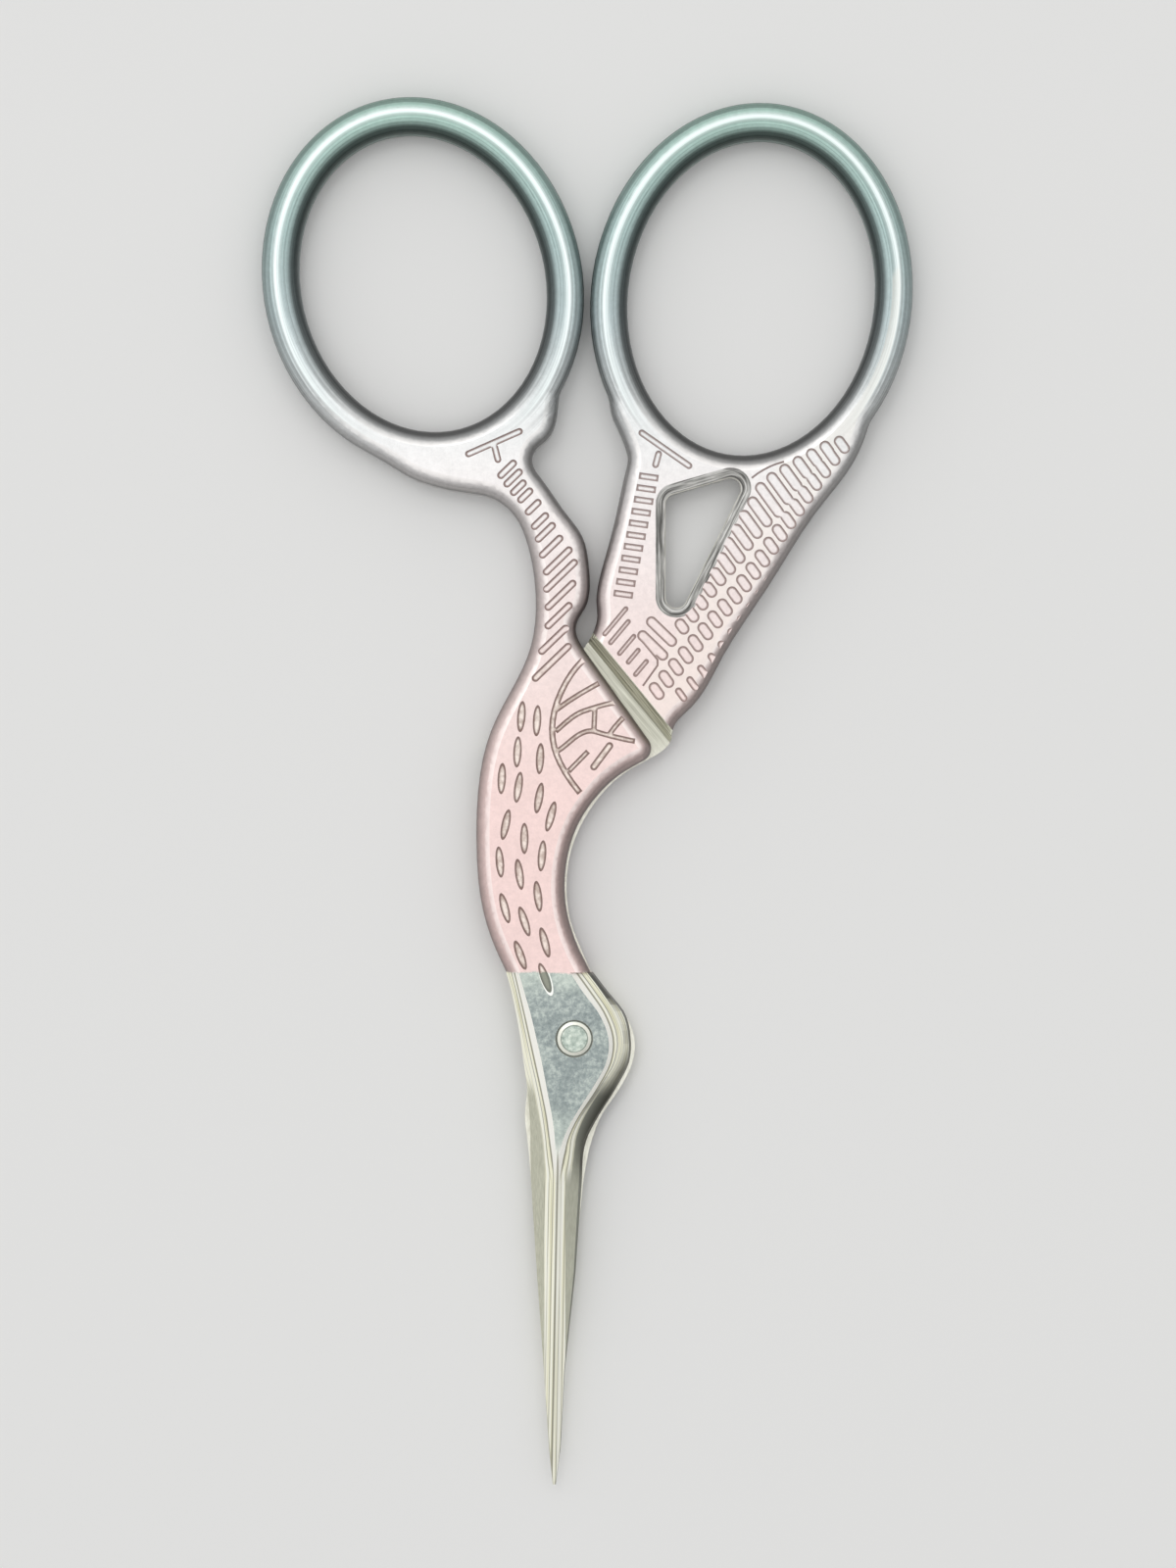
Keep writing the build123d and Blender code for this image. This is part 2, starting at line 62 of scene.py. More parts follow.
# The lines where each half steps down to the joint face, as two places on the wall's
# foot, and the run over which the wall rises beyond it
FRONT_STEP = ((0.95, 33.07), (-6.96, 23.25))
BACK_STEP = ((0.55, 33.11), (7.03, 25.17))
STEP_RUN = 0.8
STEP_END = 0.1
STEP_INSIDE = (-0.10, -0.04)  # past the joint face
STEP_WALL_FACING = (0.9, 0.8)
JOINT_RISE = (0.08, 0.04)
STRIP_FOOT = 22.0  # below this the joint face shows only as a bright sliver
STRIP_FADE = 3.0
WALL_FOOT = (0.75, 0.05)  # heights over which the wall's lines run out into the strip
WALL_FOOT_SHARE = 0.7

# Corners of the triangular window, the width of its bevel and the bright line at its foot
WINDOW_CORNERS = ((7.46, 44.32), (14.40, 46.32), (8.88, 35.20), (7.46, 35.20))
WINDOW_BEVEL = 0.83
WINDOW_FOOT = (2.74, 2.79)  # lowest and highest
WINDOW_FOOT_SOFT = 0.03
BEVEL_FACING = (0.975, 0.95)
RING_CLEARANCE = 0.06

# The tail feathers, between a line left of their roots and one along their tips
TAIL_ROOTS = ((17.6, 48.6), (6.6, 30.4))
TAIL_TIPS = ((9.6, 26.4), (22.6, 46.8))
TAIL_FADE = (-0.2, 0.4)
TAIL_HEIGHT = (FRONT_FACE - 0.04, FRONT_FACE - 0.02)
TAIL_FACING = (0.99, 0.998)

# The engraving: the floors of the body's pockets, and how shut in its outlines are, which are drawn as
# painted shade
GROOVE_HEIGHTS = (ENGRAVING_FLOOR - SOFT, ENGRAVING_FLOOR + 0.05)  # lowest and highest
GROOVE_FACING = (0.9, 0.95)
GROOVE_TOP = (33.0, 28.0)
GROOVE_NOISE = (1.9, 3.0)
GROOVE_SHARE = 0.7
ENGRAVED_ABOVE = (3.0, 3.2)
HOLLOW_REACH = 0.24 * MM
HOLLOW_SAMPLES = 16
SHUT_IN = (0.02, 0.17)
BODY_OUTLINE_SHARE = 0.88
TAIL_OUTLINE_SHARE = 0.78

# The last oval of the engraving, which the paint's edge crosses: centre, half sizes, lean.
# Its rim and the painted highlight round it are in half sizes of the oval.
LAST_OVAL = ((-2.35, 4.94), (0.36, 1.26), 19.0)
LAST_OVAL_RIM = (1.3, 1.2)
RIM_HIGHLIGHT_RING = (1.02, 1.16, 0.06)
RIM_HIGHLIGHT_HEIGHT = (FRONT_FACE - 0.06, FRONT_FACE - 0.02)

# Centres, half sizes and leans of the two ring bores
FRONT_RING = ((-12.4, 61.8), (10.0, 12.3), 14.0)
BACK_RING = ((14.5, 60.6), (10.1, 12.95), -8.0)
RING_FOOT = (47.5, 54.0)  # heights over which the legs' finish turns into the rings'
BORE_ROUND = 1.3
WIRE_GRAIN = (3.4, 0.03, 3.4)  # lines per millimetre outwards, along and up
WIRE_NOISE = (1.0, 3.0, 0.7)
WIRE_LINES = (0.36, 0.60)
WIRE_LINE_SHARE = 0.95
# The sheen is a painted highlight: a bright line along the wire
SHEEN_LINE = 1.85  # the wire's bright line lies this far from the bore
SHEEN_WIDTH = (0.50, 0.04)
SHEEN_SHARES = (0.5, 0.38)  # of the brushed lines, and everywhere

# The ground head: heights above the joint face of its edges, and the screw hole's mouth
HEAD_SHOULDER = 1.19
HEAD_LINE = 1.57
HEAD_FLAT = 1.80
HEAD_LINE_WIDTH = 0.03
INNER_LINE = 1.40  # a finer dark line on the bevel outside HEAD_LINE
INNER_LINE_HALF = 0.012
MOUTH_RADIUS = 1.56
MOUTH_FACING = (0.98, 0.95)
FLAT_RISE = (HEAD_FLAT - 0.20, HEAD_FLAT - 0.16)
FLAT_COARSE = (0.7, 8.0, 0.75)
FLAT_FINE = (2.8, 5.0, 0.8)
FLAT_FINE_SHARE = 0.4
FLAT_TOP_END = (3.0, 5.2)
FLAT_LOW_END = (-4.5, -8.5)
WALL_FACING = (0.60, 0.42)

# The head's far side, which the light leaves dark, and its darkest stretch
FAR_SIDE = (0.25, 0.6)
FAR_FACING = (0.80, 0.50)
LOW_SIDE = (0.1, 0.35)
LOW_SIDE_TOP = (0.8, -3.0)
LOW_SIDE_FOOT = (-13.0, -8.5)
LOW_SIDE_RISE = (INNER_LINE + 0.05, HEAD_SHOULDER - 0.55)
LOW_SIDE_SHARE = 0.95

# The blades: tip, heel, the ridge, and the bright band along it, which widens from the tip
BLADE_TIP = -36.6
BLADE_HEEL = -11.6
BLADE_START = (BLADE_HEEL + 1.5, BLADE_HEEL - 0.5)
FLAT_TIP = (BLADE_HEEL + 1.4, BLADE_HEEL + 3.4)
RIDGE_FOOT = -1.39
RIDGE_LEAN = 0.0195
RIDGE_LINE = (0.12, 0.05)
TIP_SPREAD = 2.0
BAND_MIDDLE = -1.6
BAND_HALF = 0.86
BAND_SPREAD = 0.08
BAND_SOFT = 0.03
SHOULDER_TOP = (-3.0, -5.0)

# The grind lines of the bands, and the fine dark lines among them
HEAD_STREAKS = (8.0, 0.07)  # density and drift
BLADE_STREAKS = (3.0, 0.03)
STRIP_STREAKS = (3.6, 0.2)
LINE_SPACING = 0.34
LINE_WIDTH = (0.065, 0.01)
LINE_BREAKS = (0.68, 0.44)
HEAD_LINE_PITCH = 2.2
HEAD_LINE_SHARE = 0.4
BLADE_LINE_SHARE = 0.75

# The matt facets, with painted shade that darkens them towards the head's wall on the right
MATT_GRAIN = (9.0, 1.2, 9.0)
HOLLOW_ACROSS = (BAND_MIDDLE - 0.5, BAND_MIDDLE + 0.5)
HOLLOW_UP = (-12.5, -7.0)
MATT_FAR_SIDE = (0.0, 0.2)

# Grain of the step's wall, the joint face and the window's bevel
WALL_GRAIN = (4.2, 0.4, 0.2)
JOINT_GRAIN = (3.0, 0.9, 0.0)
JOINT_NOISE = (1.0, 4.0, 0.65)
BEVEL_GRAIN = (5.0, 0.3, 0.3)
GRIND_NOISE = (1.0, 3.0)

# Paint, from the paint edge up to the ring tops: height and colour
PAINT_TONES = [
    (5.4, (0.84, 0.64, 0.61)),
    (20.0, (0.83, 0.64, 0.61)),
    (27.0, (0.82, 0.67, 0.64)),
    (36.0, (0.80, 0.70, 0.68)),
    (45.0, (0.80, 0.77, 0.76)),
    (52.0, (0.74, 0.77, 0.77)),
    (59.0, (0.60, 0.71, 0.72)),
    (66.0, (0.50, 0.66, 0.64)),
    (77.0, (0.45, 0.65, 0.57)),
]
CLOUD = (0.45, 4.0)
CLOUD_GREYS = [(0.3, 0.90), (0.7, 1.0)]
SPECKLE = (2.6, 4.0, 0.75)
SPECKLE_GREYS = [(0.36, 0.86), (0.64, 1.06)]
MOTTLE_SHARE = 0.5
BRUSHED_GREYS = [(0.0, 0.55), (1.0, 1.0)]
# Painted shade: share of the paint's colour that shows on a face, by how squarely it looks up, so faces that
# lean are darker
EDGE_SHADE = [
    (0.0, 0.66), (0.10, 0.50), (0.24, 0.27), (0.30, 0.28), (0.60, 0.58), (0.85, 0.92), (0.95, 1.0)]
WIRE_SHADE = [
    (0.0, 0.72), (0.10, 0.56), (0.24, 0.40), (0.30, 0.42), (0.60, 0.74), (0.85, 0.96), (0.95, 1.0)]
# and, as painted shade, on a ring's wire by the distance from its bore, darker close to it
BORE_SHADE = [(0.0, 0.66), (0.05, 0.45), (0.15, 0.21), (0.42, 0.27), (0.85, 0.64), (1.3, 1.0)]
BORE_SHADE_REACH = 1.6
PAINT_FAR_SIDE = (0.15, 0.7)
# Painted highlight on the crease where a face turns into its rounded edge
CREASE_INNER = (0.91, 0.99)
CREASE_OUTER = (0.99998, 0.995)
SHEEN_HIGHLIGHT_TONE = (0.86, 0.93, 0.92)
GROOVE_TONES = [(0.36, (0.40, 0.33, 0.27)), (0.60, (0.84, 0.76, 0.68))]
# painted shade: the tone of the engraving's outlines
OUTLINE_SHADE_TONE = (0.17, 0.10, 0.085)
FAR_PAINT_COAT = (0.35, (0.0, 0.0, 0.0))
CREASE_HIGHLIGHT_COAT = (0.38, (0.98, 0.94, 0.91))
FEATHER_COAT = (0.35, (0.80, 0.76, 0.69))

# Bare steel
FLAT_TONES = [(0.38, (0.20, 0.235, 0.235)), (0.50, (0.30, 0.345, 0.335)), (0.62, (0.48, 0.53, 0.49))]
CREAM_TONES = [(0.34, (0.70, 0.68, 0.47)), (0.44, (1.00, 0.98, 0.77)), (0.58, (1.00, 1.00, 0.90))]
MATT_TONES = [(0.30, (0.57, 0.57, 0.45)), (0.70, (0.74, 0.74, 0.61))]
WALL_TONES = [(0.40, (0.34, 0.34, 0.24)), (0.50, (0.80, 0.80, 0.63)), (0.60, (1.00, 1.00, 0.86))]
STRIP_TONES = [(0.34, (0.42, 0.42, 0.34)), (0.66, (0.74, 0.74, 0.64))]
JOINT_TONES = [(0.36, (0.76, 0.75, 0.65)), (0.64, (0.94, 0.93, 0.83))]
BEVEL_TONES = [(0.38, (0.14, 0.138, 0.13)), (0.50, (0.48, 0.475, 0.455)), (0.62, (0.96, 0.95, 0.92))]
WHITE_TONE = (1.00, 0.99, 0.93)
LINE_TONE = (0.20, 0.19, 0.13)
SHADE_TONE = (0.16, 0.17, 0.14)
HOLLOW_SHADE_TONE = (0.34, 0.35, 0.30)
POCKET_TONE = (0.26, 0.27, 0.22)
# painted highlights: the white band beside the head's flat and the rim round the last oval
WHITE_BAND_HIGHLIGHT_COAT = (0.9, WHITE_TONE)
RIM_HIGHLIGHT_COAT = (0.85, WHITE_TONE)
INNER_LINE_COAT = (0.6, LINE_TONE)
DARK_LINE_COAT = (0.75, LINE_TONE)
PALE_FLAT_COAT = (0.8, (0.66, 0.73, 0.64))
MATT_FAR_SHADE_COAT = (0.35, HOLLOW_SHADE_TONE)
# painted shade on the head's walls, the screw hole's mouth and the head's far side
WALL_SHADE_COAT = (0.85, SHADE_TONE)
MOUTH_SHADE_COAT = (0.85, SHADE_TONE)
FAR_STEEL_SHADE_COAT = (0.90, (0.03, 0.028, 0.02))
SLIVER_COAT = (0.7, (0.93, 0.91, 0.80))

# How polished and how metallic each finish is
BAND_ROUGHNESS = 0.30
FLAT_ROUGHNESS = 0.26
MATT_ROUGHNESS = 0.45
PAINT_ROUGHNESS = (0.32, 0.42)  # in the brushed lines' gaps, and on them
BAND_METALLIC = 0.15
GROUND_METALLIC = 0.72  # the flat and the matt facets
JOINT_METALLIC = 0.45
PAINT_METALLIC = 0.65
FINE_GRAIN = (9.0, 3.0)
GRAIN_SHARE = 0.5
HALF_BUMP = (0.2, 0.02 * MM)

# The screw: its rim, the lines beside it and its mottled end
SCREW_FRONT = (FRONT_FACE - 0.3, FRONT_FACE - 0.2)
SCREW_RIM = (1.17, 1.34, 0.06)
SCREW_INNER_LINE = (1.06, 1.09, 0.04)
SCREW_OUTER_LINE = (1.40, 1.42, 0.03)
SCREW_TURNING = 7.0
SCREW_NOISE = (3.2, 4.0)
SCREW_TONES = [(0.3, (0.26, 0.32, 0.28)), (0.5, (0.46, 0.53, 0.47)), (0.7, (0.66, 0.72, 0.64))]
TURNING_GREYS = [(0.3, 0.7), (0.7, 1.0)]
RIM_COAT = (0.9, (0.74, 0.73, 0.65))
RIM_LINE_COAT = (0.7, SHADE_TONE)
SCREW_METALLIC = 0.9
SCREW_ROUGHNESS = (0.25, 0.4)  # least and most, by the turning lines
SCREW_BUMP = (0.25, 0.03 * MM)

# The table, and the lamps: place, size and watts
TABLE_SIZE = 8.0
TABLE_TONE = (0.84, 0.84, 0.83, 1.0)
TABLE_ROUGHNESS = 0.9
OVERHEAD_LAMP = ((-0.08, 0.16, 0.80), 1.0, 1.6)
KEY_LAMP = ((-0.12, 0.22, 0.62), 0.14, 0.20)

# The sky: where it is brightest, and its strength from the far side to there
SKY_BRIGHT_SIDE = (-0.24, 0.42, 0.875)
SKY_FALL = (-0.45, 0.70)
SKY_STRENGTH = (0.16, 0.78)


def soft_box(name, place, size, watts):
    """A square lamp that points at the middle of the scissors."""
    lamp = bpy.data.lights.new(name, "AREA")
    lamp.shape = "SQUARE"
    lamp.size = size
    lamp.energy = watts
    holder = bpy.data.objects.new(name, lamp)
    holder.location = place
    aim = (cad_low + cad_high) / 2 - holder.location
    holder.rotation_euler = aim.to_track_quat("-Z", "Y").to_euler()
    bpy.context.scene.collection.objects.link(holder)


def overhead_camera():
    """The camera straight above, with the photograph's framing."""
    view_centre = (1.12 * MM, 20.8 * MM)
    field_length = 128 * MM
    distance = 0.42
    sensor = 36.0
    nearest = 0.01
    lens = bpy.data.cameras.new("camera")
    lens.sensor_width = sensor
    lens.lens = sensor * distance / field_length
    lens.clip_start = nearest
    camera = bpy.data.objects.new("camera", lens)
    camera.location = (*view_centre, cad_high.z + distance)
    bpy.context.scene.collection.objects.link(camera)
    bpy.context.scene.camera = camera


class Finish:
    """A material in the making. Most methods add nodes and give the last one's output."""

    def __init__(self, name):
        self.material = bpy.data.materials.new(name)
        self.material.use_nodes = True
        self.nodes = self.material.node_tree.nodes
        self.links = self.material.node_tree.links
        self.shader = self.nodes["Principled BSDF"]
        coordinates = self.nodes.new("ShaderNodeTexCoord")
        self.place = self.scaled(coordinates.outputs["Object"], PER_M)
        self.x, self.y, self.z = self.split(self.place)
        normal = self.split(coordinates.outputs["Normal"])
        self.side = normal["X"]
        self.facing = self.maths("ABSOLUTE", normal["Z"])
        self.leaning = self.rising(self.facing, *LEANING)

    def put(self, value, socket):
        if isinstance(value, bpy.types.NodeSocket):
            self.links.new(value, socket)
        elif isinstance(value, tuple) and socket.type == "RGBA":
            socket.default_value = (*value, 1.0)
        else:
            socket.default_value = value

    def scaled(self, vector, factor):
        """A vector times a number, or times another vector part by part."""
        node = self.nodes.new("ShaderNodeVectorMath")
        if isinstance(factor, tuple):
            node.operation = "MULTIPLY"
            node.inputs[1].default_value = factor
        else:
            node.operation = "SCALE"
            node.inputs["Scale"].default_value = factor
        self.put(vector, node.inputs[0])
        return node.outputs["Vector"]

    def split(self, vector):
        node = self.nodes.new("ShaderNodeSeparateXYZ")
        self.put(vector, node.inputs[0])
        return node.outputs

    def joined(self, *parts):
        node = self.nodes.new("ShaderNodeCombineXYZ")
        for part, socket in zip(parts, node.inputs):
            self.put(part, socket)
        return node.outputs[0]

    def stretched(self, parts, factors):
        return self.joined(*(self.both(part, factor) for part, factor in zip(parts, factors)))

    def maths(self, operation, *terms):
        node = self.nodes.new("ShaderNodeMath")
        node.operation = operation
        for term, socket in zip(terms, node.inputs):
            self.put(term, socket)
        return node.outputs[0]

    def plus(self, first, second):
        return self.maths("ADD", first, second)

    def minus(self, first, second):
        return self.maths("SUBTRACT", first, second)

    def both(self, first, *others):
        for other in others:
            first = self.maths("MULTIPLY", first, other)
        return first

    def either(self, first, second):
        return self.maths("MAXIMUM", first, second)

    def rest(self, share):
        """What a share leaves."""
        return self.minus(1.0, share)

    def apart(self, first, second):
        return self.maths("ABSOLUTE", self.minus(first, second))

    def length(self, across, up):
        return self.maths("SQRT", self.plus(self.both(across, across), self.both(up, up)))

    def along(self, start, slope):
        """A linear measure of the place in plan: the offset from start, times slope."""
        across = self.both(self.minus(self.x, start[0]), slope[0])
        up = self.both(self.minus(self.y, start[1]), slope[1])
        return self.plus(across, up)

    def beside(self, line):
        """The distance in plan from a line through two places, positive on its left."""
        (x0, y0), (x1, y1) = line
        run = math.hypot(x1 - x0, y1 - y0)
        return self.along((x0, y0), ((y0 - y1) / run, (x1 - x0) / run))

    def in_sizes(self, oval):
        """How far a place lies from an oval's centre, in half sizes: 1 on the oval itself."""
        centre, half_sizes, lean = oval
        node = self.nodes.new("ShaderNodeMapping")
        node.vector_type = "TEXTURE"
        node.inputs["Location"].default_value = (*centre, 0)
        node.inputs["Rotation"].default_value = (0, 0, math.radians(lean))
        node.inputs["Scale"].default_value = (*half_sizes, 1)
        self.put(self.place, node.inputs["Vector"])
        turned = self.split(node.outputs[0])
        return self.length(turned["X"], turned["Y"])

    def from_bore(self, ring):
        """How far a place lies from the wall of a ring's bore, towards the ring's outside."""
        x0, y0 = ring[0]
        reach = self.length(self.minus(self.x, x0), self.minus(self.y, y0))
        return self.minus(reach, self.maths("DIVIDE", reach, self.in_sizes(ring)))

    def rising(self, value, low, high):
        """0 below low, 1 above high, eased between them. Falls if low is the higher."""
        node = self.nodes.new("ShaderNodeMapRange")
        node.interpolation_type = "SMOOTHSTEP"
        flip = low > high
        self.put(value, node.inputs["Value"])
        node.inputs["From Min"].default_value = min(low, high)
        node.inputs["From Max"].default_value = max(low, high)
        node.inputs["To Min"].default_value = float(flip)
        node.inputs["To Max"].default_value = float(not flip)
        return node.outputs[0]

    def within(self, value, low, high, soft):
        """1 between low and high, eased over soft beyond both."""
        return self.both(self.rising(value, low - soft, low), self.rising(value, high + soft, high))

    def noise(self, place, scale, detail, roughness=0.6):
        node = self.nodes.new("ShaderNodeTexNoise")
        self.put(place, node.inputs["Vector"])
        node.inputs["Scale"].default_value = scale
        node.inputs["Detail"].default_value = detail
        node.inputs["Roughness"].default_value = roughness
        return node.outputs["Fac"]

    def streaks(self, across, density, drift):
        """Fine grind lines: noise across them that changes slowly with height."""
        return self.noise(self.stretched((across, self.y), (density, drift)), *GRIND_NOISE)

    def hollow(self, reach, samples):
        """How shut in the surface is by its own walls within reach: 0 open, 1 shut."""
        node = self.nodes.new("ShaderNodeAmbientOcclusion")
        node.samples = samples
        node.only_local = True
        node.inputs["Distance"].default_value = reach
        return self.rest(node.outputs["AO"])

    def ramp(self, value, stops, low=0.0, high=1.0):
        """Colours at places between low and high."""
        node = self.nodes.new("ShaderNodeValToRGB")
        self.put(self.maths("DIVIDE", self.minus(value, low), high - low), node.inputs[0])
        elements = node.color_ramp.elements
        while len(elements) < len(stops):
            elements.new(1.0)
        for element, (at, colour) in zip(elements, stops):
            element.position = (at - low) / (high - low)
            element.color = (*colour, 1.0)
        return node.outputs["Color"]

    def greys(self, value, stops, low=0.0, high=1.0):
        return self.ramp(value, [(at, (grey, grey, grey)) for at, grey in stops], low, high)

    def mix(self, share, first, second, blend="MIX"):
        node = self.nodes.new("ShaderNodeMix")
        node.data_type = "RGBA"
        node.blend_type = blend
        self.put(share, node.inputs[0])
        self.put(first, node.inputs[6])
        self.put(second, node.inputs[7])
        return node.outputs[2]

    def shaded(self, share, tone, greys):
        """A tone darkened by greys."""
        return self.mix(share, tone, greys, "MULTIPLY")

    def coated(self, tone, where, coat):
        """A tone with a coat over it, as far as where says."""
        share, colour = coat
        return self.mix(self.both(where, share), tone, colour)

    def level(self, share, first, second):
        """A number between two others."""
        node = self.nodes.new("ShaderNodeMix")
        self.put(share, node.inputs[0])
        self.put(first, node.inputs[2])
        self.put(second, node.inputs[3])
        return node.outputs[0]

    def bump(self, height, strength, distance):
        node = self.nodes.new("ShaderNodeBump")
        node.inputs["Strength"].default_value = strength
        node.inputs["Distance"].default_value = distance
        self.put(height, node.inputs["Height"])
        return node.outputs["Normal"]

    def wear(self, tone, metallic, roughness, normal):
        """The finished material, once all its qualities are known."""
        qualities = {"Base Color": tone, "Metallic": metallic, "Roughness": roughness, "Normal": normal}
        for quality, value in qualities.items():
            self.put(value, self.shader.inputs[quality])
        return self.material


def ground_bands(finish, rise, from_ridge, on_blade, on_head):
    """The cream bands of the head and blade, with their grind lines and fine dark lines."""
    head_streaks = finish.streaks(rise, *HEAD_STREAKS)
    grind = finish.level(on_blade, head_streaks, finish.streaks(from_ridge, *BLADE_STREAKS))
    tone = finish.ramp(grind, CREAM_TONES)
    # fine dark lines at even spacing, on the head by height and on the blade beside the ridge
    head_lines, blade_lines = (
        finish.rising(finish.maths("PINGPONG", spread, LINE_SPACING / 2), *LINE_WIDTH)
        for spread in (finish.both(rise, HEAD_LINE_PITCH), from_ridge))
    fine_lines = finish.level(on_blade, finish.both(head_lines, HEAD_LINE_SHARE),
                              finish.both(blade_lines, BLADE_LINE_SHARE))
    tone = finish.mix(finish.both(fine_lines, finish.rising(grind, *LINE_BREAKS)), tone, LINE_TONE)
    # painted highlight in the white band beside the head's flat, and the dark lines outside it
    beside_flat = finish.both(finish.rising(rise, HEAD_LINE, HEAD_LINE + HEAD_LINE_WIDTH), on_head)
    tone = finish.coated(tone, beside_flat, WHITE_BAND_HIGHLIGHT_COAT)
    inner_line = finish.within(rise, INNER_LINE - INNER_LINE_HALF, INNER_LINE + INNER_LINE_HALF, SOFT)
    tone = finish.coated(tone, finish.both(inner_line, on_head), INNER_LINE_COAT)
    head_line = finish.within(
        rise, HEAD_LINE - HEAD_LINE_WIDTH, HEAD_LINE + SOFT / 2, HEAD_LINE_WIDTH)
    # the blade's ridge is dark from the flat's tip down
    ridge_line = finish.both(finish.rising(finish.maths("ABSOLUTE", from_ridge), *RIDGE_LINE),
                             finish.rising(finish.y, *FLAT_TIP[::-1]))
    dark_lines = finish.either(finish.both(head_line, on_head), ridge_line)
    return finish.coated(tone, dark_lines, DARK_LINE_COAT)


def head_flat(finish, rise):
    """How far a place belongs to the head's flat, and the flat's mottled colour."""
    mottle = finish.level(FLAT_FINE_SHARE, finish.noise(finish.place, *FLAT_COARSE),
                          finish.noise(finish.place, *FLAT_FINE))
    flat = finish.both(finish.rising(finish.facing, *LEVEL_FACE), finish.rising(rise, *FLAT_RISE),
                       finish.rising(finish.y, *FLAT_TIP))
    ends = finish.plus(finish.rising(finish.y, *FLAT_TOP_END), finish.rising(finish.y, *FLAT_LOW_END))
    return flat, finish.coated(finish.ramp(mottle, FLAT_TONES), finish.both(ends, mottle), PALE_FLAT_COAT)


def matt_facets(finish, rise, on_blade):
    """How far a place belongs to the matt facets outside the bands, and their colour."""
    grain = finish.noise(finish.scaled(finish.place, MATT_GRAIN), *GRIND_NOISE)
    # painted shade: darker towards the head's wall on the right, and on the side that looks right
    hollow = finish.both(finish.rising(finish.x, *HOLLOW_ACROSS), finish.rising(finish.y, *HOLLOW_UP))
    tone = finish.mix(hollow, finish.ramp(grain, MATT_TONES), HOLLOW_SHADE_TONE)
    tone = finish.coated(tone, finish.rising(finish.side, *MATT_FAR_SIDE), MATT_FAR_SHADE_COAT)
    from_tip = finish.minus(finish.y, BLADE_TIP - TIP_SPREAD)
    half = finish.maths("MINIMUM", finish.both(from_tip, BAND_SPREAD), BAND_HALF)
    off_band = finish.minus(finish.apart(finish.x, BAND_MIDDLE), half)
    under_shoulder = finish.both(finish.rising(rise, HEAD_SHOULDER + 2 * SOFT, HEAD_SHOULDER - SOFT),
                                 finish.rising(finish.y, *SHOULDER_TOP))
    outer = finish.level(on_blade, under_shoulder, finish.rising(off_band, -BAND_SOFT, BAND_SOFT))
    return outer, tone


def steel_shade(finish, tone, rise, on_head):
    """Painted shade: the dark of the head's walls, of its far side and of the screw hole's mouth."""
    wall = finish.both(finish.rising(finish.facing, *WALL_FACING), finish.leaning,
                       finish.rising(finish.apart(finish.y, PAINT_EDGE), *CLEAR_OF_EDGE))
    tone = finish.coated(tone, wall, WALL_SHADE_COAT)
    far = finish.both(finish.rising(finish.side, *FAR_SIDE), finish.rising(finish.facing, *FAR_FACING),
                      on_head)
    low_side = finish.both(finish.rising(finish.y, *LOW_SIDE_TOP), finish.rising(finish.y, *LOW_SIDE_FOOT),
                           finish.rising(finish.side, *LOW_SIDE), finish.rising(rise, *LOW_SIDE_RISE))
    far = finish.either(far, finish.both(low_side, LOW_SIDE_SHARE))
    tone = finish.coated(tone, finish.both(far, finish.leaning), FAR_STEEL_SHADE_COAT)
    in_mouth = finish.rising(finish.length(finish.x, finish.y), MOUTH_RADIUS + SOFT, MOUTH_RADIUS)
    mouth = finish.both(in_mouth, finish.rising(finish.facing, *MOUTH_FACING))
    return finish.coated(tone, mouth, MOUTH_SHADE_COAT)


def bare_steel(finish, rise):
    """Colour, roughness and metal of the ground head and blade. rise is the height over the joint face."""
    on_blade = finish.rising(finish.y, *BLADE_START)
    on_head = finish.rest(on_blade)
    up_blade = finish.minus(finish.y, BLADE_HEEL)
    from_ridge = finish.minus(finish.x, finish.plus(finish.both(up_blade, RIDGE_LEAN), RIDGE_FOOT))
    tone = ground_bands(finish, rise, from_ridge, on_blade, on_head)
    flat, flat_tone = head_flat(finish, rise)
    outer, matt_tone = matt_facets(finish, rise, on_blade)
    tone = finish.mix(outer, finish.mix(flat, tone, flat_tone), matt_tone)
    tone = steel_shade(finish, tone, rise, on_head)
    rough = finish.level(outer, finish.level(flat, BAND_ROUGHNESS, FLAT_ROUGHNESS), MATT_ROUGHNESS)
    metallic = finish.level(finish.either(outer, flat), BAND_METALLIC, GROUND_METALLIC)
    return tone, rough, metallic


